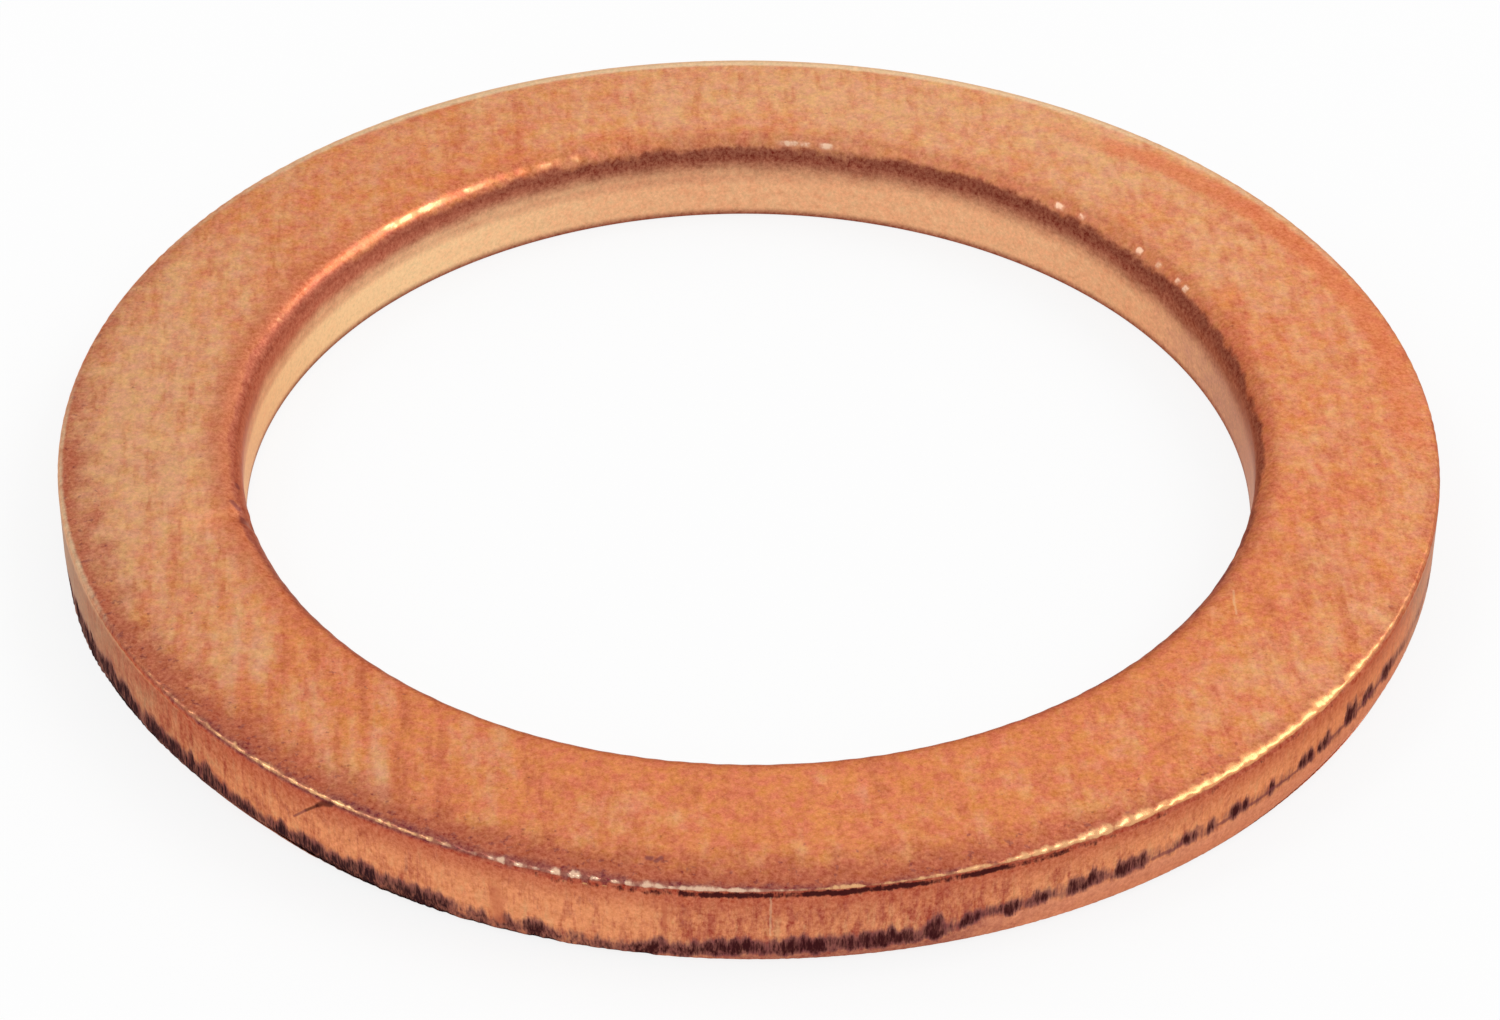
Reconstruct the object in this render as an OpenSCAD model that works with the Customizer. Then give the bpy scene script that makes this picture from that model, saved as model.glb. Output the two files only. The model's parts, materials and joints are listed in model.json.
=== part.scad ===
// A flat copper crush washer, stamped from sheet in one piece.
// It lies on its lower sealing face. The bore's axis is +Z, and the origin is
// the bore's centre on that face. All sizes are in millimetres.

/* [Ring] */
// Diameter of the bore, a clearance over the 16 mm thread that passes through it
bore_d = 16.2; // [15.2:0.1:17.2]
// Diameter over the rim
rim_d = 22; // [20.6:0.1:28]
// Thickness between the two sealing faces, before the ring is crushed
ring_t = 1.5; // [1:0.1:2.5]

/* [Bore edges] */
// Radius of the die roll at the bore's upper edge, where the punch drew the face down
bore_roll_r = 0.4; // [0.1:0.05:0.6]
// Radius of the bore's lower edge
bore_foot_r = 0.06; // [0.02:0.01:0.15]

/* [Rim edges] */
// Width of the band where the upper face falls away towards the rim
face_fall_w = 0.9; // [0.4:0.05:1]
// Depth of that fall, where the falling face would meet the rim
face_fall_h = 0.04; // [0.01:0.01:0.08]
// Radius of the rim's upper edge
rim_edge_r = 0.08; // [0.04:0.02:0.3]

/* [Shear break] */
// Height of the torn band at the foot of the rim, below the smooth sheared land
break_h = 0.35; // [0.1:0.05:0.5]
// How far the torn band draws in by the time it meets the lower face
break_in = 0.08; // [0.02:0.01:0.15]
// Radius of the rim's lower edge
rim_foot_r = 0.06; // [0.02:0.01:0.12]

/* [Hidden] */
$fn = 256;

bore_r = bore_d / 2;
rim_r = rim_d / 2;

// How far a cut runs past the metal that it takes away
overcut = 0.5;

// The falling face is one arc, level where it leaves the flat and face_fall_h down at the rim
fall_arc_r = (pow(face_fall_w, 2) + pow(face_fall_h, 2)) / (2 * face_fall_h);
fall_centre = [rim_r - face_fall_w, ring_t - fall_arc_r];

// The rim's edge round touches both the falling face and the rim, so its centre
// lies rim_edge_r inside each of them
rim_edge_centre = [
    rim_r - rim_edge_r,
    fall_centre.y + sqrt(pow(fall_arc_r - rim_edge_r, 2) - pow(face_fall_w - rim_edge_r, 2))
];
// Direction in which the falling face runs into the edge round
fall_end_a = atan2(rim_edge_centre.y - fall_centre.y, rim_edge_centre.x - fall_centre.x);

// Lean of the torn band from the upright rim
break_a = atan2(break_in, break_h);
rim_foot_centre = [
    rim_r - break_in * (break_h - rim_foot_r) / break_h - rim_foot_r / cos(break_a),
    rim_foot_r
];

bore_roll_centre = [bore_r + bore_roll_r, ring_t - bore_roll_r];
bore_foot_centre = [bore_r + bore_foot_r, bore_foot_r];

// What a round of radius r takes off an outside corner, between directions a0 and a1
// as seen from the round's centre
module round_off(centre, r, a0, a1) {
    reach = r + overcut;
    a_mid = (a0 + a1) / 2;
    mid_reach = reach / cos((a1 - a0) / 2);
    translate(centre)
        difference() {
            polygon([
                [0, 0],
                reach * [cos(a0), sin(a0)],
                mid_reach * [cos(a_mid), sin(a_mid)],
                reach * [cos(a1), sin(a1)]
            ]);
            circle(r);
        }
}

// What the tear takes off the foot of the rim
module break_off() {
    run_out = overcut * tan(break_a);
    polygon([
        [rim_r, break_h],
        [rim_r + overcut, break_h],
        [rim_r + overcut, -overcut],
        [rim_r - break_in - run_out, -overcut]
    ]);
}

// Half section of the ring: the sheet's two faces, with each edge as the die left it
module ring_section() {
    difference() {
        translate([bore_r, 0])
            square([rim_r - bore_r, ring_t]);
        round_off(bore_roll_centre, bore_roll_r, 90, 180);
        round_off(bore_foot_centre, bore_foot_r, 180, 270);
        round_off(fall_centre, fall_arc_r, fall_end_a, 90);
        round_off(rim_edge_centre, rim_edge_r, 0, fall_end_a);
        break_off();
        round_off(rim_foot_centre, rim_foot_r, -90, -break_a);
    }
}

module washer() {
    color("#C97B4E")
        rotate_extrude()
            ring_section();
}

washer();
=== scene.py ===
import json
import math

import bpy
import numpy as np
from mathutils import Matrix, Vector


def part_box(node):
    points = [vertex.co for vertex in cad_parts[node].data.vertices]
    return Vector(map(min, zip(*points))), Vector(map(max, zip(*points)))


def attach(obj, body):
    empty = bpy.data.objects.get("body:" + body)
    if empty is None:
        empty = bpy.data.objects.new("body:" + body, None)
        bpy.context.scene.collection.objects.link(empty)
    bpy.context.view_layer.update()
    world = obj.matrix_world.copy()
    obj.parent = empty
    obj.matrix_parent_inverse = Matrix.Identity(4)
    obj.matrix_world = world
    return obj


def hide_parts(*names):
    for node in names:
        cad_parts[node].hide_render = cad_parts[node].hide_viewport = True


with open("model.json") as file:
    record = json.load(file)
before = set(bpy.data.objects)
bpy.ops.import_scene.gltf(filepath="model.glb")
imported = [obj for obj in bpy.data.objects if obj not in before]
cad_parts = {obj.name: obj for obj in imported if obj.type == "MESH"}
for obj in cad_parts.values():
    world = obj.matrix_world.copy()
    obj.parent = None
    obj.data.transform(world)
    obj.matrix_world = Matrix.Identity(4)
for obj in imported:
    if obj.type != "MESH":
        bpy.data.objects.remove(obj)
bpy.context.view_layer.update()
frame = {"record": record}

# Sizes. Metres throughout; MM turns a size written in millimetres into metres.
MM = 0.001
washer_low, washer_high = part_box("washer")
bore_mount = next(m for m in frame["record"]["mounts"] if m["name"] == "bore")
RIM_R = (washer_high.x - washer_low.x) / 2
RING_T = washer_high.z
BORE_R = bore_mount["dims"]["r_mm"] * MM

# The stamped section, edge by edge
BORE_ROLL_R = 0.4 * MM
BORE_FOOT_R = 0.06 * MM
FACE_FALL_W = 0.9 * MM
FACE_FALL_H = 0.04 * MM
RIM_EDGE_R = 0.08 * MM
RIM_FOOT_R = 0.06 * MM
BREAK_H = 0.35 * MM

# Slope at the rim of the bruised bevel along the upper edge, which starts level inside
BEVEL_SLOPE = 0.75

# Steps of the mesh round the ring, and the seed of its chance wear
STEPS_ROUND = 1650
SEED = 22

# Where the section's points stand, in millimetres: heights up the bore, radii out over the flat face,
# distances inside the rim where the face falls, distances under the rim's edge in the crease, and
# heights down the rim
BORE_STEPS = (0.4, 0.8)
FLAT_STEPS = (9.4, 9.8)
FALL_STEPS = (0.9, 0.75, 0.6, 0.48, 0.38, 0.3, 0.23, 0.17, 0.12)
CREASE_STEPS = (0.03, 0.06, 0.09, 0.14)
RIM_STEPS = (1.1, 0.92, 0.84, 0.77, 0.7, 0.64, 0.58, 0.52, 0.46, 0.4, 0.34, 0.28, 0.22, 0.16, 0.11)

# How far inside the rim the lower face starts, past the torn foot
LOWER_FACE_IN = 0.22 * MM

# Depths of the small wear, in millimetres
SHEAR_LINE_DEPTH = 0.0015
PIT_SHALLOW = 0.008
PIT_SPREAD = 0.010
ROLL_WAVE_DEPTH = 0.002
CREASE_DEPTH = 0.012

# The tables below go round the ring by angle, in degrees counter-clockwise from +X, so 270 is the side
# nearest the camera. Lengths in them are in millimetres, and shares run from 0 to 1.

# The tear on the rim between its clumps: angle, its middle above the lower face, half its height,
# how dark
TEAR = [
    (0, 0.45, 0.10, 0.50),
    (14, 0.38, 0.10, 0.55),
    (25, 0.22, 0.18, 0.85),
    (40, 0.27, 0.12, 0.70),
    (52, 0.15, 0.16, 0.95),
    (70, 0.22, 0.11, 0.80),
    (85, 0.32, 0.13, 0.90),
    (97, 0.18, 0.18, 0.95),
    (110, 0.24, 0.12, 0.85),
    (124, 0.12, 0.14, 0.90),
    (138, 0.28, 0.12, 0.75),
    (150, 0.15, 0.14, 0.90),
    (166, 0.22, 0.12, 0.65),
    (185, 0.12, 0.14, 0.80),
    (196, 0.18, 0.26, 0.95),
    (206, 0.24, 0.32, 1.00),
    (222, 0.28, 0.28, 1.00),
    (229, 0.27, 0.19, 0.80),
    (238, 0.20, 0.25, 0.85),
    (246, 0.16, 0.26, 0.75),
    (249, 0.10, 0.24, 0.60),
    (256, 0.08, 0.24, 0.55),
    (260, 0.05, 0.20, 0.60),
    (264, 0.20, 0.13, 0.85),
    (270, 0.29, 0.13, 0.90),
    (285, 0.33, 0.13, 0.90),
    (286.5, 0.45, 0.07, 0.55),
    (290, 0.52, 0.08, 0.50),
    (297, 0.56, 0.09, 0.42),
    (304, 0.58, 0.08, 0.36),
    (318, 0.61, 0.07, 0.32),
    (324, 0.65, 0.07, 0.38),
    (331, 0.66, 0.09, 0.50),
    (340, 0.58, 0.08, 0.35),
]
# Darker clumps of torn metal along it: angle, half length in degrees, how far they rise above the tear
TEAR_CLUMPS = [
    (18.0, 1.2, 0.05),
    (33.0, 0.9, 0.10),
    (47.0, 2.0, 0.03),
    (61.0, 0.8, 0.08),
    (78.0, 1.5, 0.05),
    (93.0, 0.6, 0.12),
    (104.0, 1.8, 0.03),
    (119.0, 1.0, 0.07),
    (133.0, 0.7, 0.10),
    (146.0, 1.6, 0.04),
    (158.0, 0.9, 0.06),
    (172.0, 1.2, 0.05),
    (187.0, 0.9, 0.06),
    (208.2, 0.6, 0.14),
    (211.3, 1.1, 0.08),
    (215.2, 0.9, 0.04),
    (217.5, 0.5, 0.05),
    (219.3, 0.8, 0.03),
    (221.3, 0.3, 0.14),
    (223.3, 0.7, 0.10),
    (231.5, 0.9, 0.03),
    (234.8, 1.6, 0.04),
    (240.0, 1.0, 0.05),
    (244.5, 2.0, 0.02),
    (254.0, 0.8, 0.05),
    (263.2, 1.0, 0.04),
    (268.0, 1.6, 0.04),
    (274.4, 2.2, 0.04),
    (280.6, 2.2, 0.03),
    (284.4, 0.6, 0.12),
    (287.2, 0.9, 0.03),
    (290.2, 1.0, 0.01),
    (292.6, 1.1, 0.00),
    (296.5, 1.6, 0.03),
    (300.6, 1.6, 0.05),
    (306.0, 0.9, 0.02),
    (308.3, 0.4, 0.06),
    (311.2, 1.1, 0.03),
    (315.0, 0.3, 0.08),
    (319.2, 1.1, 0.03),
    (321.7, 0.9, 0.07),
    (325.7, 1.0, 0.14),
    (328.6, 0.9, 0.06),
    (332.4, 1.1, 0.05),
]
# How far the tear draws the foot of the rim in: angle, length
TEAR_LEAN = [
    (0, 0.06),
    (90, 0.08),
    (180, 0.04),
    (200, 0.00),
    (204, 0.02),
    (208, 0.07),
    (212, 0.13),
    (218, 0.18),
    (224, 0.20),
    (230, 0.18),
    (238, 0.10),
    (246, 0.07),
    (262, 0.06),
    (290, 0.06),
    (312, 0.07),
    (324, 0.11),
    (332, 0.14),
    (340, 0.14),
    (350, 0.08),
]
# The rim's upper edge: angle, how far the face sinks there, width of the bruised bevel,
# how burnished it is, which also lightens it as a painted highlight, height of the burr's beads
EDGE = [
    (0, 0.00, 0.10, 0.10, 0.002),
    (25, 0.00, 0.20, 0.10, 0.002),
    (60, 0.00, 0.25, 0.10, 0.002),
    (120, 0.00, 0.25, 0.10, 0.002),
    (155, 0.00, 0.20, 0.10, 0.002),
    (180, 0.00, 0.06, 0.00, 0.001),
    (206, 0.00, 0.05, 0.00, 0.001),
    (212, 0.00, 0.07, 0.35, 0.003),
    (222, 0.00, 0.08, 0.55, 0.006),
    (228, 0.00, 0.09, 0.72, 0.006),
    (243, 0.00, 0.08, 0.66, 0.007),
    (248, 0.02, 0.07, 0.60, 0.012),
    (252, 0.04, 0.10, 1.00, 0.020),
    (261, 0.05, 0.10, 1.00, 0.018),
    (263, 0.05, 0.085, 1.00, 0.008),
    (269, 0.05, 0.08, 1.00, 0.005),
    (272, 0.05, 0.055, 0.80, 0.004),
    (279, 0.05, 0.055, 0.88, 0.004),
    (286, 0.05, 0.06, 0.90, 0.005),
    (291, 0.04, 0.09, 0.90, 0.007),
    (297, 0.03, 0.15, 1.00, 0.007),
    (314, 0.01, 0.16, 1.00, 0.005),
    (325, 0.00, 0.15, 1.00, 0.004),
    (334, 0.00, 0.07, 0.60, 0.003),
    (343, 0.00, 0.06, 0.20, 0.002),
]
# Painted dark reflection in the crease under that edge: angle, how dark
CREASE_AND_DARK_REFLECTION = [
    (242, 0.0),
    (250, 0.20),
    (260, 0.30),
    (265, 0.7),
    (271, 0.9),
    (287, 0.85),
    (291, 0.6),
    (298, 0.35),
    (312, 0.30),
    (322, 0.15),
    (330, 0.0),
]
# Red-brown stain on the face along the rim: angle, width, how deep
STAIN = [
    (0, 0.35, 0.32),
    (25, 0.25, 0.25),
    (65, 0.25, 0.20),
    (95, 0.20, 0.15),
    (130, 0.30, 0.30),
    (150, 0.45, 0.60),
    (172, 0.50, 0.60),
    (186, 0.85, 0.75),
    (205, 0.95, 0.80),
    (216, 0.95, 0.90),
    (224, 0.90, 1.05),
    (238, 0.80, 1.12),
    (252, 0.75, 1.20),
    (268, 0.80, 1.12),
    (285, 0.80, 1.00),
    (305, 0.60, 0.72),
    (330, 0.50, 0.45),
]
# A red streak that wanders in from the rim: angle, distance inside the rim, half width, how deep
STREAK = [
    (350, 0.45, 0.35, 0.0),
    (358, 0.42, 0.35, 0.6),
    (372, 0.38, 0.35, 0.9),
    (386, 0.42, 0.35, 1.0),
    (398, 0.52, 0.35, 1.0),
    (408, 0.68, 0.35, 0.9),
    (418, 0.85, 0.40, 0.5),
    (428, 0.95, 0.40, 0.0),
]
# How tan the face is, against orange: angle, share
FACE_TONE = [
    (0, 0.32),
    (22, 0.50),
    (48, 0.95),
    (80, 0.90),
    (100, 0.72),
    (125, 0.36),
    (150, 0.44),
    (168, 0.95),
    (188, 1.05),
    (205, 0.65),
    (225, 0.24),
    (250, 0.00),
    (280, 0.00),
    (310, 0.15),
    (330, 0.36),
]
# The rim wall: angle, how golden it is against red-brown, partly painted light that is brighter on the
# right, how pale, a painted reflection where the wall is seen edge on
RIM_TONE = [
    (0, 1.00, 0.30),
    (90, 0.60, 0.30),
    (170, 0.60, 0.60),
    (194, 0.50, 0.90),
    (204, 0.35, 0.60),
    (214, 0.30, 0.40),
    (222, 0.42, 0.25),
    (230, 0.75, 0.10),
    (244, 0.90, 0.00),
    (262, 0.92, 0.00),
    (266, 0.40, 0.00),
    (285, 0.35, 0.00),
    (293, 0.70, 0.00),
    (302, 0.90, 0.00),
    (316, 1.00, 0.00),
    (326, 1.02, 0.05),
    (332, 0.98, 0.10),
    (340, 1.20, 0.50),
    (348, 1.10, 0.50),
]
# Painted pale reflection on the face's very edge along the rim: angle, share, width
PALE_EDGE_REFLECTION = [
    (12, 0.0, 0.25),
    (30, 0.45, 0.30),
    (45, 0.60, 0.33),
    (60, 0.85, 0.38),
    (90, 1.0, 0.42),
    (120, 1.0, 0.40),
    (145, 0.5, 0.28),
    (168, 0.2, 0.18),
    (186, 0.6, 0.10),
    (202, 0.6, 0.10),
    (212, 0.0, 0.10),
]
# How clearly the rolling lines show on the face: angle, share
ROLLED = [
    (0, 0.35),
    (90, 0.25),
    (180, 0.40),
    (205, 0.60),
    (226, 1.00),
    (246, 0.90),
    (262, 0.30),
    (300, 0.50),
]
# Burnished flecks where the face meets the die roll of the bore, also lit as painted glints: angle, half
# length in degrees, share
ROLL_GLINT_FLECKS = [
    (28.5, 0.6, 1.00),
    (30.2, 0.5, 0.90),
    (34.0, 0.5, 0.75),
    (37.5, 0.6, 1.00),
    (47.0, 0.6, 0.80),
    (50.3, 0.8, 0.90),
    (81.0, 1.0, 0.85),
    (85.0, 2.4, 0.70),
    (111.8, 0.7, 0.50),
    (115.6, 1.1, 0.65),
    (125.2, 1.7, 0.75),
    (134.0, 5.5, 0.85),
    (152.0, 12.0, 0.28),
    (160.1, 0.4, 0.55),
]
# A nick in the bore's upper edge: angle, half its length in degrees, depth
NICK = (197.4, 2.4, 0.05)
# Hairline scratches down the rim: their angles and heights from end to end, width, tone
RIM_SCRATCHES = [
    ([(236.9, 1.41), (236.1, 1.36), (235.6, 1.27)], 0.062, "dark"),
    ([(235.6, 1.27), (234.4, 1.06)], 0.034, "dark"),
    ([(234.4, 1.06), (233.2, 0.83)], 0.028, "plum"),
    ([(271.9, 1.30), (271.86, 0.57)], 0.022, "light"),
    ([(251.0, 0.85), (251.25, 0.30)], 0.140, "red"),
    ([(264.0, 1.15), (264.0, 0.70)], 0.050, "red"),
    ([(302.6, 0.55), (305.2, 0.56)], 0.050, "plum"),
    ([(309.0, 0.57), (310.4, 0.58)], 0.045, "plum"),
    ([(312.4, 0.59), (314.6, 0.60), (318.2, 0.60)], 0.045, "plum"),
    ([(322.8, 0.64), (325.0, 0.65)], 0.050, "plum"),
    ([(326.8, 0.65), (331.6, 0.66)], 0.050, "plum"),
]
# Marks on the upper face: places from end to end, width, tone
FACE_MARKS = [
    ([(-8.08, -2.15), (-7.98, -2.27)], 0.070, "plum"),
    ([(-7.88, -2.46), (-7.87, -2.60)], 0.080, "plum"),
    ([(-8.06, -1.60), (-8.05, -1.67)], 0.050, "plum"),
    ([(7.42, -4.19), (7.42, -4.77)], 0.025, "light"),
    ([(10.68, 1.90), (10.72, 1.96)], 0.060, "red"),
    ([(-1.40, -10.36), (-1.34, -10.37)], 0.060, "plum"),
    ([(-1.27, -10.42), (-1.20, -10.36)], 0.055, "plum"),
]


def ease(x, start, end):
    """0 before start, 1 after end, with a smooth step between."""
    s = np.clip((x - start) / (end - start), 0, 1)
    return s * s * (3 - 2 * s)


def by_angle(angle, rows, column=1):
    """A column of a table, read between its angles right round the ring."""
    table = np.array(rows)
    return np.interp(angle, table[:, 0], table[:, column], period=360)


def ring_noise(rng, turn, slow, fast, count=90):
    """Noise round the ring from waves that go round slow to fast times, with a spread of about 1."""
    waves = rng.integers(slow, fast + 1, count)
    starts = rng.uniform(0, math.tau, count)
    total = np.zeros_like(turn)
    for wave, start in zip(waves, starts):
        total += np.cos(wave * turn + start)
    return total * math.sqrt(2 / count)


def arc(centre, radius, first, last, steps):
    """Points of the section along a round, from first to last degrees."""
    angles = np.radians(np.linspace(first, last, steps))
    return np.stack([centre[0] + radius * np.cos(angles), centre[1] + radius * np.sin(angles)], 1)


def upright(radius, heights):
    """Points of the section along an upright wall, at heights in millimetres."""
    return np.array([(radius, height * MM) for height in heights])


def ring_section():
    """Half section from the bore's foot up the bore, out over the face, down the rim and back.

    Gives its points, and the height at which the rim's upper edge runs into the rim.
    """
    fall_arc_r = (FACE_FALL_W ** 2 + FACE_FALL_H ** 2) / (2 * FACE_FALL_H)
    fall_centre = (RIM_R - FACE_FALL_W, RING_T - fall_arc_r)
    reach = math.sqrt((fall_arc_r - RIM_EDGE_R) ** 2 - (FACE_FALL_W - RIM_EDGE_R) ** 2)
    edge_centre = (RIM_R - RIM_EDGE_R, fall_centre[1] + reach)
    fall_end = math.degrees(math.atan2(edge_centre[1] - fall_centre[1], edge_centre[0] - fall_centre[0]))
    roll_centre = (BORE_R + BORE_ROLL_R, RING_T - BORE_ROLL_R)
    land_top = edge_centre[1]

    flat = [(r * MM, RING_T) for r in FLAT_STEPS]
    inside_rim = np.array(FALL_STEPS) * MM
    fall_r = RIM_R - inside_rim
    fall_z = fall_centre[1] + np.sqrt(fall_arc_r ** 2 - (fall_r - fall_centre[0]) ** 2)
    crease = land_top / MM - np.array(CREASE_STEPS)
    parts = [
        arc((BORE_R + BORE_FOOT_R, BORE_FOOT_R), BORE_FOOT_R, 270, 180, 4),
        upright(BORE_R, BORE_STEPS),
        arc(roll_centre, BORE_ROLL_R, 180, 90, 12),
        np.array(flat),
        np.stack([fall_r, fall_z], 1),
        arc(edge_centre, RIM_EDGE_R, fall_end, 0, 7),
        upright(RIM_R, crease),
        upright(RIM_R, RIM_STEPS),
        arc((RIM_R - RIM_FOOT_R, RIM_FOOT_R), RIM_FOOT_R, 0, -90, 4),
        np.array([(RIM_R - LOWER_FACE_IN, 0)]),
    ]
    return np.concatenate(parts), land_top


def section_normals(points):
    """Outward directions in the section's own plane. The outline runs clockwise and closes on itself."""
    along = np.roll(points, -1, 0) - np.roll(points, 1, 0)
    out = np.stack([-along[:, 1], along[:, 0]], 1)
    return out / np.linalg.norm(out, axis=1)[:, None]


def tear_share(rng, angle, turn, height):
    """How torn the rim is at each angle and height, from 0 up, and what share is below the tear."""
    middle = by_angle(angle, TEAR, 1) + 0.015 * ring_noise(rng, turn, 40, 160)
    half = by_angle(angle, TEAR, 2)
    dark = by_angle(angle, TEAR, 3) * (1 + 0.15 * ring_noise(rng, turn, 40, 160))
    rise = np.zeros_like(angle)
    for clump_at, half_length, clump_rise in TEAR_CLUMPS:
        in_clump = 1 - ease(np.abs(angle - clump_at), 0.6 * half_length, 1.3 * half_length)
        dark = np.maximum(dark, 1.08 * in_clump)
        rise = np.maximum(rise, clump_rise * in_clump)
    upper = middle + half + rise + 0.026 * ring_noise(rng, turn, 80, 420)
    lower = middle - half - 0.2 * rise + 0.02 * ring_noise(rng, turn, 60, 300)
    z = height[None, :] / MM
    torn = ease(upper[:, None] - z, -0.15, 0.09) * ease(z - lower[:, None], -0.05, 0.07) * dark[:, None]
    foot = ease(lower[:, None] - z, -0.02, 0.06)
    return torn, foot


def washer_mesh():
    """The ring with its torn foot, bruised edge and flecked roll, and marks for its finish and for its
    painted light and shade.
    """
    rng = np.random.default_rng(SEED)
    points, land_top = ring_section()
    normals = section_normals(points)
    radius, height = points[:, 0], points[:, 1]
    facing_up = normals[:, 1]
    turn = np.linspace(0, math.tau, STEPS_ROUND, endpoint=False)
    angle = np.degrees(turn)
    every = np.ones((STEPS_ROUND, len(points)))

    outer = radius > RIM_R - 0.07 * MM
    on_rim = outer & (height <= land_top)
    on_top = height > land_top

    # The tear leaves pits, and leans the foot in
    torn, foot = tear_share(rng, angle, turn, height)
    torn = torn * on_rim
    broken = ease(torn, 0.35, 0.85)
    pits = 0.5 + 0.5 * ring_noise(rng, turn, 200, 600)[:, None]
    lean = by_angle(angle, TEAR_LEAN)[:, None] * (1 - ease(height, 0, BREAK_H)) * outer
    shear_lines = SHEAR_LINE_DEPTH * ring_noise(rng, turn, 150, 650)[:, None] * on_rim
    outward = shear_lines - broken * (PIT_SHALLOW + PIT_SPREAD * pits) - lean

    # The rim's upper edge sinks, is bevelled where it was bruised, and chatters
    bruised = ease(by_angle(angle, EDGE, 3), 0.1, 0.6)
    bevel_noise = 0.16 * ring_noise(rng, turn, 30, 110) + 0.10 * ring_noise(rng, turn, 140, 400)
    bevel = by_angle(angle, EDGE, 2) * (1 + bevel_noise * bruised)
    bevel = np.clip(bevel, 0.02, 0.3)[:, None]
    sink = by_angle(angle, EDGE, 1)[:, None]
    inside_rim = (RIM_R - radius) / MM
    bevel_drop = BEVEL_SLOPE * np.maximum(0, bevel - inside_rim) ** 2 / (2 * bevel)
    top_drop = (sink * (1 - ease(inside_rim, 0.0, 0.9)) + bevel_drop) * on_top
    rim_drop = (sink + BEVEL_SLOPE * bevel / 2) * ease(height, 0.8 * MM, land_top) * on_rim
    near_edge = outer & (height > land_top - 0.01 * MM)
    bead_height = by_angle(angle, EDGE, 4)
    bead_noise = ring_noise(rng, turn, 150, 330)
    outward = outward + (bead_height * bead_noise)[:, None] * near_edge

    # The die roll's shoulder is flecked, and its flecks also carry painted glints
    on_roll = (radius < BORE_R + BORE_ROLL_R) & (height > RING_T - BORE_ROLL_R)
    shoulder = on_roll * ease(facing_up, 0.70, 0.78) * (1 - ease(facing_up, 0.83, 0.91))
    fleck_noise = ring_noise(rng, turn, 40, 180)
    roll_glint_flecks = np.zeros_like(angle)
    for fleck_at, half_length, share in ROLL_GLINT_FLECKS:
        in_fleck = 1 - ease(np.abs(angle - fleck_at), 0.5 * half_length, 1.2 * half_length)
        roll_glint_flecks = np.maximum(roll_glint_flecks, share * in_fleck)
    roll_glint_flecks = np.clip(roll_glint_flecks * (1 + 0.12 * fleck_noise), 0, 1)
    outward = outward + ROLL_WAVE_DEPTH * (roll_glint_flecks * fleck_noise)[:, None] * shoulder
    outward = outward + ROLL_WAVE_DEPTH * ring_noise(rng, turn, 30, 160)[:, None] * on_roll
    nick_at, nick_half, nick_depth = NICK
    nick = nick_depth * (1 - ease(np.abs(angle - nick_at), 0, nick_half))
    outward = outward - nick[:, None] * on_roll

    # A painted dark reflection lies in a shallow crease under the edge
    below_edge = (land_top - height) / MM
    in_crease = ease(below_edge, -0.07, -0.04) * (1 - ease(below_edge, -0.005, 0.06))
    creased = outer * (facing_up < 0.7) * in_crease
    crease_and_dark_reflection = by_angle(angle, CREASE_AND_DARK_REFLECTION) * (1 + 0.14 * ring_noise(rng, turn, 12, 70))
    crease_and_dark_reflection = np.clip(crease_and_dark_reflection, 0, 1)[:, None] * creased
    outward = outward - CREASE_DEPTH * crease_and_dark_reflection

    r = radius + outward * MM * normals[:, 0]
    z = height + outward * MM * normals[:, 1] - (top_drop + rim_drop) * MM
    r = np.minimum(r, RIM_R)
    z = np.clip(z, 0, RING_T)
    x = r * np.cos(turn)[:, None]
    y = r * np.sin(turn)[:, None]
    places = np.stack([x, y, z], -1).reshape(-1, 3)

    beaded = ease(bead_height, 0.004, 0.016)
    edge_burnish_and_highlight = by_angle(angle, EDGE, 3) * (1 - 0.72 * beaded * (1 - ease(bead_noise, -0.2, 0.7)))
    on_bevel = on_top * (1 - ease(inside_rim, 0.4 * bevel, 1.5 * bevel)) * ease(facing_up, 0.70, 0.88)
    stain_width = by_angle(angle, STAIN, 1)[:, None]
    stain = by_angle(angle, STAIN, 2)[:, None] * np.clip(1 - inside_rim / stain_width / 1.3, 0, 1) ** 1.5
    streak_in = by_angle(angle, STREAK, 1)[:, None]
    streak_half = by_angle(angle, STREAK, 2)[:, None]
    streak_off = np.abs(inside_rim - streak_in) / streak_half
    streak = by_angle(angle, STREAK, 3)[:, None] * (1 - ease(streak_off, 0.2, 1.3))
    face_tone = by_angle(angle, FACE_TONE)[:, None]
    rim_tone = by_angle(angle, RIM_TONE)[:, None]
    tone = face_tone * (1 - on_rim) + rim_tone * on_rim
    # Painted pale reflection along the face's edge and on the rim's sides where they are seen edge on
    pale_width = by_angle(angle, PALE_EDGE_REFLECTION, 2)[:, None]
    pale_share = by_angle(angle, PALE_EDGE_REFLECTION)[:, None]
    face_edge_reflection = pale_share * (1 - ease(inside_rim, 0.6 * pale_width, pale_width)) * on_top
    rim_side_reflection = by_angle(angle, RIM_TONE, 2)[:, None] * outer * (1 - on_top)
    marks = {
        "torn": torn,
        "foot": foot * on_rim,
        "crease_and_dark_reflection": crease_and_dark_reflection,
        "burnish_and_glint": np.clip(edge_burnish_and_highlight[:, None] * on_bevel + roll_glint_flecks[:, None] * shoulder, 0, 1),
        "stain": stain * on_top,
        "streak": streak * on_top,
        "pale_reflection": face_edge_reflection + rim_side_reflection,
        "tone": tone,
        "rolled": by_angle(angle, ROLLED)[:, None] * every,
    }

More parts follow.
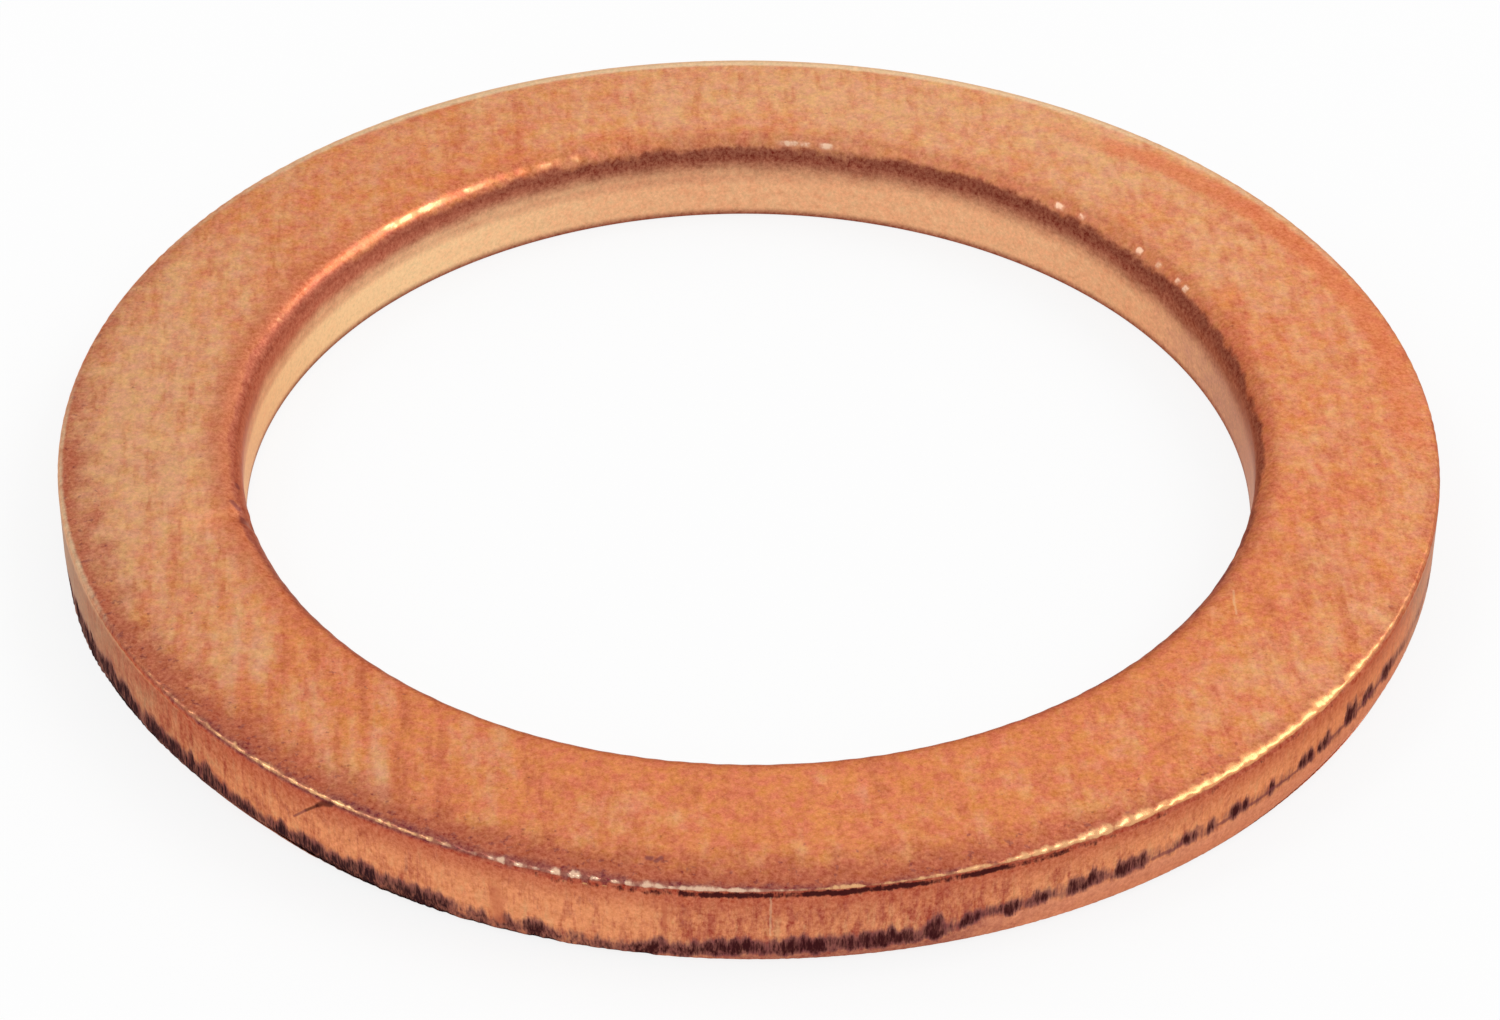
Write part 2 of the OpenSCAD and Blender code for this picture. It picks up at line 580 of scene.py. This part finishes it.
    rows = len(points)
    i, j = np.meshgrid(np.arange(STEPS_ROUND), np.arange(rows), indexing="ij")
    i2, j2 = (i + 1) % STEPS_ROUND, (j + 1) % rows
    quads = np.stack([i * rows + j, i * rows + j2, i2 * rows + j2, i2 * rows + j], -1).reshape(-1, 4)

    mesh = bpy.data.meshes.new("washer_ring")
    mesh.from_pydata(places.tolist(), [], quads.tolist())
    mesh.polygons.foreach_set("use_smooth", np.ones(len(quads), bool))
    for name, share in marks.items():
        mark = mesh.attributes.new(name, "FLOAT", "POINT")
        mark.data.foreach_set("value", (share * every).astype(np.float32).ravel())
    mesh.validate()
    mesh.update()
    return mesh


class Value:
    """A number that changes over a surface. Sums on it add Math nodes to its finish."""

    def __init__(self, finish, socket):
        self.finish = finish
        self.socket = socket

    def math(self, operation, *inputs, clamp=False):
        settings = {"operation": operation, "use_clamp": clamp}
        return self.finish.node("ShaderNodeMath", settings, dict(enumerate(inputs)))

    def __add__(self, other):
        return self.math("ADD", self, other)

    def __radd__(self, other):
        return self.math("ADD", other, self)

    def __sub__(self, other):
        return self.math("SUBTRACT", self, other)

    def __rsub__(self, other):
        return self.math("SUBTRACT", other, self)

    def __mul__(self, other):
        return self.math("MULTIPLY", self, other)

    def __rmul__(self, other):
        return self.math("MULTIPLY", other, self)

    def __truediv__(self, other):
        return self.math("DIVIDE", self, other)

    def __pow__(self, other):
        return self.math("POWER", self, other)

    def between(self, start, end):
        """0 before start, 1 after end, with a smooth step between."""
        settings = {"interpolation_type": "SMOOTHSTEP"}
        inputs = {"Value": self, "From Min": start, "From Max": end}
        return self.finish.node("ShaderNodeMapRange", settings, inputs)

    def limited(self):
        return self.math("ADD", self, 0.0, clamp=True)


class Finish:
    """A material's node tree while it is built."""

    def __init__(self, name):
        self.material = bpy.data.materials.new(name)
        self.material.use_nodes = True
        self.tree = self.material.node_tree
        self.surface = self.tree.nodes["Principled BSDF"]

    def plug(self, socket, value):
        if isinstance(value, Value):
            self.tree.links.new(value.socket, socket)
        elif socket.type == "RGBA" and len(value) == 3:
            socket.default_value = (*value, 1)
        else:
            socket.default_value = value

    def node(self, kind, settings=None, inputs=None, output=0):
        """Adds a node of this type, with its settings first, then its sockets' values or links."""
        made = self.tree.nodes.new(kind)
        for name, value in (settings or {}).items():
            setattr(made, name, value)
        for name, value in (inputs or {}).items():
            self.plug(made.inputs[name], value)
        return Value(self, made.outputs[output])

    def mix(self, share, first, second):
        """A colour share of the way from first to second."""
        made = self.tree.nodes.new("ShaderNodeMix")
        made.data_type = "RGBA"
        self.plug(made.inputs[0], share)
        self.plug(made.inputs[6], first)
        self.plug(made.inputs[7], second)
        return Value(self, made.outputs[2])

    def scaled(self, vector, scale):
        """A colour or a place multiplied by one number."""
        return self.node("ShaderNodeVectorMath", {"operation": "SCALE"}, {0: vector, "Scale": scale})

    def stretched(self, place, scale):
        """Coordinates multiplied along each axis."""
        return self.node("ShaderNodeVectorMath", {"operation": "MULTIPLY"}, {0: place, 1: scale})

    def noise(self, place, scale, detail=2.0, roughness=0.5):
        inputs = {"Vector": place, "Scale": scale, "Detail": detail, "Roughness": roughness}
        return self.node("ShaderNodeTexNoise", {"noise_dimensions": "3D"}, inputs)

    def near_line(self, u, v, points, width):
        """1 on a line through the points, 0 from its width away on both sides."""
        near = 0.0
        for (u0, v0), (u1, v1) in zip(points, points[1:]):
            du, dv = u1 - u0, v1 - v0
            along = (((u - u0) * du + (v - v0) * dv) / (du * du + dv * dv)).limited()
            off_u = u - u0 - along * du
            off_v = v - v0 - along * dv
            stroke = 1 - ((off_u * off_u + off_v * off_v) ** 0.5).between(0.3 * width, width)
            near = stroke.math("MAXIMUM", stroke, near)
        return near

    def mark(self, name):
        return self.node("ShaderNodeAttribute", {"attribute_name": name}, output="Fac")


# Tones of the copper, with tones of painted light and shade among them
FACE_ORANGE = (0.74, 0.215, 0.088)
FACE_TAN = (0.765, 0.470, 0.262)
FACE_RED = (0.55, 0.150, 0.072)
FACE_PINK = (0.70, 0.20, 0.135)
FACE_GOLD = (0.76, 0.36, 0.090)
STREAK_RED = (0.70, 0.185, 0.080)
STAIN_RED = (0.48, 0.122, 0.068)
PLUM_STAIN_AND_DARK_REFLECTION = (0.20, 0.055, 0.065)
BORE_GOLD = (0.98, 0.64, 0.340)
BORE_SHADED = (0.74, 0.29, 0.145)
BORE_SHADED_GREY = (0.42, 0.25, 0.210)
ROLL_RED = (0.51, 0.148, 0.086)
ROLL_BROWN = (0.31, 0.088, 0.051)
RIM_BROWN = (0.45, 0.105, 0.060)
RIM_PLUM = (0.28, 0.085, 0.075)
RIM_GOLD = (0.82, 0.310, 0.138)
RIM_PALE_REFLECTION = (0.38, 0.295, 0.195)
RIM_TOP = (0.50, 0.108, 0.058)
RIM_TAN = (0.76, 0.410, 0.195)
RIM_FOOT = (0.71, 0.270, 0.155)
FOOT_BROWN = (0.40, 0.140, 0.100)
EDGE_PALE_REFLECTION_AND_SCRATCH = (0.86, 0.660, 0.410)
BURNISHED_HIGHLIGHT = (0.95, 0.52, 0.245)
BEAD_HIGHLIGHT = (0.97, 0.64, 0.44)
EDGE_GOLD_HIGHLIGHT = (0.93, 0.42, 0.175)
TORN_BROWN = (0.20, 0.068, 0.074)
TORN_DARK = (0.046, 0.007, 0.009)
TORN_PLUM = (0.026, 0.009, 0.013)
# What a full grain adds, a neutral change of brightness
GRAIN = (0.68, 0.36, 0.21)
# Tint of the metal where it is seen edge on
EDGE_TINT = (0.85, 0.58, 0.48)

# How strongly a mark of each tone shows
MARK_DEPTH = {"dark": 0.75, "plum": 0.65, "red": 0.60, "light": 0.25}

# Degrees by which the rolling lines lean from the Y axis
ROLLED_LEAN = 5


def stamped_copper():
    finish = Finish("stamped_copper")
    object_place = finish.node("ShaderNodeTexCoord", output="Object")
    place = finish.scaled(object_place, 1 / MM)
    x = finish.node("ShaderNodeSeparateXYZ", inputs={0: place}, output=0)
    y = finish.node("ShaderNodeSeparateXYZ", inputs={0: place}, output=1)
    z = finish.node("ShaderNodeSeparateXYZ", inputs={0: place}, output=2)
    radius = (x * x + y * y) ** 0.5
    bore_r, rim_r, ring_t = BORE_R / MM, RIM_R / MM, RING_T / MM
    torn, crease_and_dark_reflection, burnish_and_glint = finish.mark("torn"), finish.mark("crease_and_dark_reflection"), finish.mark("burnish_and_glint")
    stain, tone, rolled = finish.mark("stain"), finish.mark("tone"), finish.mark("rolled")
    pale_reflection, foot, streak = finish.mark("pale_reflection"), finish.mark("foot"), finish.mark("streak")

    # The sheet's own pattern: rolling lines, clouds of tarnish, mottle and fine grain, each about 0
    turned = finish.node("ShaderNodeVectorRotate", {"rotation_type": "Z_AXIS"},
                         {"Vector": place, "Angle": math.radians(-ROLLED_LEAN)})
    lines = finish.noise(finish.stretched(turned, (1, 0.12, 1)), 2.6, 3.0, 0.55) - 0.5
    fine_lines = finish.noise(finish.stretched(turned, (1, 0.16, 1)), 10.0, 3.0, 0.6) - 0.5
    clouds = finish.noise(place, 0.9, 4.0, 0.6) - 0.5
    mottle = finish.noise(finish.stretched(turned, (1, 0.55, 1)), 5.5, 4.0, 0.7) - 0.5
    blush = finish.noise(finish.stretched(turned, (1, 0.45, 1)), 3.4, 4.0, 0.7) - 0.5
    grain = finish.noise(place, 15.0, 3.0, 0.75) - 0.5
    tint = finish.noise(place, 4.5, 3.0, 0.65) - 0.5

    # Faces
    inner = 1 - radius.between(bore_r + 0.3, bore_r + 1.7)
    tan_share = (tone - inner * 0.22 + clouds * 1.5 + mottle * 1.7 + lines * rolled * 2.8).limited()
    face = finish.mix(tan_share, FACE_ORANGE, FACE_TAN)
    tinted = finish.mix((0.5 + tint * 3.8).limited(), FACE_PINK, FACE_GOLD)
    face = finish.mix(0.42, face, tinted)
    reddened = (blush * 1.9 + fine_lines * 1.3 - lines * rolled * 3.6 + 0.12).between(0.0, 1.0)
    face = finish.mix(reddened * 0.75, face, FACE_RED)
    blotches = finish.noise(place, 2.2, 4.0, 0.65) - 0.5
    face = finish.mix((streak + blotches * 1.2).between(0.1, 1.0) * 0.7, face, STREAK_RED)
    stained = (stain + blotches * 1.1 + blush * 0.6).between(0.0, 0.75) * stain.between(0.0, 0.25)
    face = finish.mix(stained * 0.85, face, STAIN_RED)
    face = finish.mix((stain + blotches * 0.6).between(0.76, 1.02) * 0.6, face, PLUM_STAIN_AND_DARK_REFLECTION)
    specks = finish.noise(place, 8.0, 2.0, 0.6) - 0.5
    speckled = (specks + stain * 0.12 + rolled * 0.05).between(0.19, 0.30)
    face = finish.mix(speckled * 0.45, face, PLUM_STAIN_AND_DARK_REFLECTION)

    # Bore: gold wall, with painted shade towards the right, under a die roll darkened as a painted dark
    # reflection
    # Painted shade: the wall darker from its middle to the right, and greyer at the far right where it
    # is seen edge on
    right_shade = x.between(-7.0, -1.0) * 0.61 + x.between(4.0, 9.0) * 0.12
    wall = finish.mix((right_shade + mottle).limited(), BORE_GOLD, BORE_SHADED)
    wall = finish.mix((x + mottle * 2.0).between(6.5, 8.3) * 0.65, wall, BORE_SHADED_GREY)
    # The die roll's dark red-brown band is a painted dark reflection of a dark room
    roll_dark_reflection_tone = finish.mix((x.between(-8.0, -1.5) + blush).limited(), ROLL_RED, ROLL_BROWN)
    wander = clouds * 0.2 + blush * 0.2
    low_roll = x.between(4.0, 8.0) * 0.12 + (1 - x.between(-6.5, -4.5)) * 0.07
    roll_foot = (z + wander + low_roll).between(0.70, 1.20)
    shear_line = z.between(0.62, 0.76) * (1 - z.between(0.80, 0.90)) * (1 - x.between(-1.0, 3.0))
    wall = finish.mix(shear_line * 0.30, wall, ROLL_RED)
    bore = finish.mix(roll_foot, wall, roll_dark_reflection_tone)
    bore = finish.mix(1 - z.between(0.03, 0.19), bore, ROLL_BROWN)
    roll_reach = (1 - x.between(-8.5, -6.0)) * 0.14 + x.between(0.5, 3.5) * 0.015
    ragged = clouds * 0.25 + blush * 0.20 + mottle * 0.08
    on_bore = 1 - (radius + ragged - roll_reach).between(bore_r + 0.04, bore_r + 0.12)
    near_left = 1 - x.between(-8.0, -5.5)
    near_bore = 1 - (radius - near_left * 0.15).between(bore_r + 0.10, bore_r + 0.65)
    face = finish.mix(near_bore * (0.45 + near_left * 0.35), face, FACE_RED)
    # On the near side the painted dark reflection of the roll turns plum, and runs onto the face's lip
    near_side = 1 - y.between(-5.0, -1.0)
    bore = finish.mix(near_side * roll_foot * 0.7, bore, PLUM_STAIN_AND_DARK_REFLECTION)
    near_lip = 1 - (radius + mottle * 0.12).between(bore_r + 0.12, bore_r + 0.28)
    face = finish.mix(near_side * near_lip * 0.5, face, PLUM_STAIN_AND_DARK_REFLECTION)

    # Rim: sheared lines up the wall
    upright_lines = finish.noise(finish.stretched(place, (1, 1, 0.16)), 12.0, 4.0, 0.7) - 0.5
    rim_mottle = finish.noise(finish.stretched(place, (1, 1, 0.5)), 5.0, 4.0, 0.7) - 0.5
    # The golden share follows the rim's tone, which is partly painted light that brightens the right
    # side
    gold_share = (tone + upright_lines * 2.4 + rim_mottle * 2.6).limited()
    rim = finish.mix(gold_share, RIM_BROWN, RIM_GOLD)
    tan_patches = (rim_mottle * 3.0 - upright_lines * 1.4).between(0.0, 0.9)
    rim = finish.mix(tan_patches * 0.55, rim, RIM_TAN)
    plum_lines = (upright_lines * 2.0 - rim_mottle * 1.5).between(0.10, 0.75)
    rim = finish.mix(plum_lines * 0.58, rim, RIM_PLUM)
    upper_rim = (z + rim_mottle * 0.5 + upright_lines * 0.4).between(0.85, 1.40)
    rim = finish.mix(upper_rim * 0.80, rim, RIM_TOP)
    foot_tone = finish.mix((x + rim_mottle * 2.0).between(2.4, 4.2), FOOT_BROWN, RIM_FOOT)
    rim = finish.mix(foot * 0.8, rim, foot_tone)
    rim = finish.mix((1 - z.between(0.02, 0.07)) * 0.6, rim, TORN_BROWN)
    rim_top = ring_t - 0.12 - pale_reflection * 0.25
    lean_reach = (1 - z.between(0.05, 0.40)) * 0.20
    on_side = (radius + lean_reach).between(rim_r - 0.05, rim_r - 0.02) * z.between(0.0, 0.01)
    on_rim = on_side * (1 - ((z - rim_top) / (0.05 + pale_reflection * 0.3)).between(0.0, 1.0))

    colour = finish.mix(on_bore, face, bore)
    colour = finish.mix(on_rim, colour, rim)
    # Painted pale reflection along the face's edge and on the rim's sides where they are seen edge on
    pale_reflection_tone = finish.mix(on_rim, EDGE_PALE_REFLECTION_AND_SCRATCH, RIM_PALE_REFLECTION)
    colour = finish.mix((pale_reflection + rim_mottle * 0.8).between(0.10, 0.90) * 0.85, colour, pale_reflection_tone)
    colour = finish.scaled(colour, 1 + mottle * 0.3)
    grained = {0: GRAIN, 1: grain, 2: colour}
    colour = finish.node("ShaderNodeVectorMath", {"operation": "MULTIPLY_ADD"}, grained)

    # Burnished edge and flecks, lightened as painted highlights in tones that change by place
    flecks = finish.noise(place, 7.0, 3.0, 0.6) - 0.5
    glints = (burnish_and_glint + flecks * 0.7 + fine_lines * 1.6).between(0.35, 0.85) * burnish_and_glint.between(0.05, 0.3)
    burnish_and_highlight = glints + (1 - glints) * burnish_and_glint.between(0.1, 0.5) * 0.2
    past_beads = (y.between(-10.3, -9.9) + x.between(0.2, 1.2)).limited()
    highlight_tone = finish.mix(past_beads, BEAD_HIGHLIGHT, BURNISHED_HIGHLIGHT)
    near_right = x.between(5.0, 6.5) * (1 - y.between(-3.0, 0.0))
    highlight_tone = finish.mix(near_right, highlight_tone, EDGE_GOLD_HIGHLIGHT)
    far_right = x.between(-3.0, -1.0) * y.between(2.5, 3.5)
    highlight_tone = finish.mix(far_right, highlight_tone, BEAD_HIGHLIGHT)
    colour = finish.mix(burnish_and_highlight * 0.9, colour, highlight_tone)

    # Dark torn metal, and a painted dark reflection in the crease
    smears = finish.noise(finish.stretched(place, (1, 1, 0.4)), 8.0, 3.0, 0.65) - 0.5
    streaks = finish.noise(finish.stretched(place, (1, 1, 0.14)), 26.0, 3.0, 0.7) - 0.5
    haze = (torn + smears + streaks * 0.8).between(-0.1, 0.6) * torn.between(0.0, 0.1)
    colour = finish.mix(haze * 0.8, colour, TORN_BROWN)
    broken = (torn + smears * 1.5 + streaks * 2.6).between(0.30, 1.30) * torn.between(0.05, 0.35)
    creased = (crease_and_dark_reflection + flecks * 1.6 + streaks * 0.8).between(0.25, 0.80) * crease_and_dark_reflection.between(0.02, 0.1)
    dark_share = (broken + creased).limited()
    dirt_and_dark_reflection = finish.mix(x.between(-6.0, -1.0), TORN_PLUM, TORN_DARK)
    colour = finish.mix(dark_share * 0.95, colour, dirt_and_dark_reflection)

    # Scratches and marks
    round_rim = y.math("ARCTAN2", y, x) * rim_r
    mark_tones = {"dark": TORN_DARK, "plum": PLUM_STAIN_AND_DARK_REFLECTION, "red": FACE_RED, "light": EDGE_PALE_REFLECTION_AND_SCRATCH}
    for points, width, mark_tone in RIM_SCRATCHES:
        on_arc = [(math.radians(angle - 360) * rim_r, height) for angle, height in points]
        scratch = finish.near_line(round_rim + flecks * 0.08, z + flecks * 0.08, on_arc, width) * on_side
        colour = finish.mix(scratch * MARK_DEPTH[mark_tone], colour, mark_tones[mark_tone])
    on_face = z.between(ring_t - 0.3, ring_t - 0.2)
    for points, width, mark_tone in FACE_MARKS:
        scratch = finish.near_line(x + mottle * 0.1, y + blush * 0.1, points, width) * on_face
        colour = finish.mix(scratch * MARK_DEPTH[mark_tone], colour, mark_tones[mark_tone])

    on_shoulder = (1 - radius.between(bore_r + 0.20, bore_r + 0.40)) * z.between(1.05, 1.25)
    worn_roll = on_shoulder * x.between(0.0, 4.0)
    roughness = 0.38 + grain * 0.25 + dark_share * 0.15 + worn_roll * 0.22 - burnish_and_highlight * 0.10
    relief = grain * 0.5 + fine_lines * 0.5 + upright_lines * on_rim * 1.5 + streaks * broken * 2.0
    ruffle = {"Strength": 0.35, "Distance": 0.01 * MM, "Height": relief}
    bump = finish.node("ShaderNodeBump", None, ruffle)

    finish.surface.inputs["Specular IOR Level"].default_value = 0.0
    finish.surface.inputs["Specular Tint"].default_value = (*EDGE_TINT, 1)
    finish.plug(finish.surface.inputs["Base Color"], colour)
    finish.plug(finish.surface.inputs["Metallic"], 1 - dark_share * 0.85)
    finish.plug(finish.surface.inputs["Roughness"], roughness)
    finish.plug(finish.surface.inputs["Normal"], bump)
    return finish.material


def make_washer():
    mesh = washer_mesh()
    mesh.materials.append(stamped_copper())
    washer = bpy.data.objects.new("washer_ring", mesh)
    bpy.context.scene.collection.objects.link(washer)
    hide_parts("washer")
    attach(washer, "root")
    return washer


# The photograph's camera, as fitted to the ring's outlines
IMAGE_W, IMAGE_H = 1500, 1020
FOCAL_PX = 4644.8
CAMERA_AWAY = 75.241 * MM
CAMERA_UP = math.radians(37.622)
CAMERA_ROLL = math.radians(0.491)
ORIGIN_PX = (748.68, 496.44)
SENSOR_W = 36.0


def make_camera():
    data = bpy.data.cameras.new("camera")
    data.sensor_width = SENSOR_W
    data.lens = SENSOR_W * FOCAL_PX / IMAGE_W
    data.shift_x = (IMAGE_W / 2 - ORIGIN_PX[0]) / IMAGE_W
    data.shift_y = (ORIGIN_PX[1] - IMAGE_H / 2) / IMAGE_W
    data.clip_start = 1 * MM
    data.clip_end = 10
    camera = bpy.data.objects.new("camera", data)
    bpy.context.scene.collection.objects.link(camera)
    back = Vector((0, -math.cos(CAMERA_UP), math.sin(CAMERA_UP)))
    level = Vector((1, 0, 0))
    upright = back.cross(level)
    right = level * math.cos(CAMERA_ROLL) + upright * math.sin(CAMERA_ROLL)
    up = upright * math.cos(CAMERA_ROLL) - level * math.sin(CAMERA_ROLL)
    axes = Matrix((right, up, back)).transposed().to_4x4()
    camera.matrix_world = Matrix.Translation(back * CAMERA_AWAY) @ axes
    bpy.context.scene.camera = camera


FLOOR_SIDE = 6.0
FLOOR_WHITE = (0.86, 0.86, 0.86)
FLOOR_GLOW = 0.85


def make_floor():
    half = FLOOR_SIDE / 2
    mesh = bpy.data.meshes.new("floor")
    corners = [(-half, -half, 0), (half, -half, 0), (half, half, 0), (-half, half, 0)]
    mesh.from_pydata(corners, [], [(0, 1, 2, 3)])
    floor = bpy.data.objects.new("floor", mesh)
    bpy.context.scene.collection.objects.link(floor)
    finish = Finish("pale_floor")
    finish.surface.inputs["Base Color"].default_value = (*FLOOR_WHITE, 1)
    finish.surface.inputs["Roughness"].default_value = 1.0
    finish.surface.inputs["Specular IOR Level"].default_value = 0.0
    seen = finish.node("ShaderNodeLightPath", output="Is Camera Ray")
    mirrored = finish.node("ShaderNodeLightPath", output="Is Glossy Ray")
    through = finish.node("ShaderNodeLightPath", output="Is Transmission Ray")
    glow = finish.node("ShaderNodeEmission", None, {"Color": (1, 1, 1), "Strength": 1.0})
    mixed = finish.tree.nodes.new("ShaderNodeMixShader")
    finish.plug(mixed.inputs[0], (seen + mirrored + through).limited() * FLOOR_GLOW)
    finish.tree.links.new(finish.surface.outputs[0], mixed.inputs[1])
    finish.tree.links.new(glow.socket, mixed.inputs[2])
    finish.tree.links.new(mixed.outputs[0], finish.tree.nodes["Material Output"].inputs["Surface"])
    mesh.materials.append(finish.material)


# Brightness of the studio's walls against white paper, and its softboxes: name, place, sides, brightness
ROOM_LEVEL = 0.80
SOFTBOXES = [
    ("back_softbox", (0.36, 0.60, 0.44), (1.0, 0.62), 0.30),
    ("right_softbox", (0.445, 0.133, 0.523), (0.36, 0.36), 2.65),
    ("left_softbox", (-0.38, 0.01, 0.587), (0.20, 0.20), 3.4),
]


def make_softbox(name, place, sides, level):
    """A soft lamp that faces the washer."""
    data = bpy.data.lights.new(name, "AREA")
    data.shape = "RECTANGLE"
    data.size, data.size_y = sides
    data.energy = level * math.pi * sides[0] * sides[1]
    lamp = bpy.data.objects.new(name, data)
    bpy.context.scene.collection.objects.link(lamp)
    lamp.location = place
    lamp.rotation_mode = "QUATERNION"
    lamp.rotation_quaternion = (-Vector(place)).to_track_quat("-Z", "Y")


def make_light():
    world = bpy.data.worlds.new("studio")
    bpy.context.scene.world = world
    world.use_nodes = True
    room = world.node_tree.nodes["Background"]
    room.inputs["Color"].default_value = (1, 1, 1, 1)
    room.inputs["Strength"].default_value = ROOM_LEVEL
    for softbox in SOFTBOXES:
        make_softbox(*softbox)


scene = bpy.context.scene
scene.view_settings.view_transform = "Standard"
make_camera()
make_washer()
make_floor()
make_light()
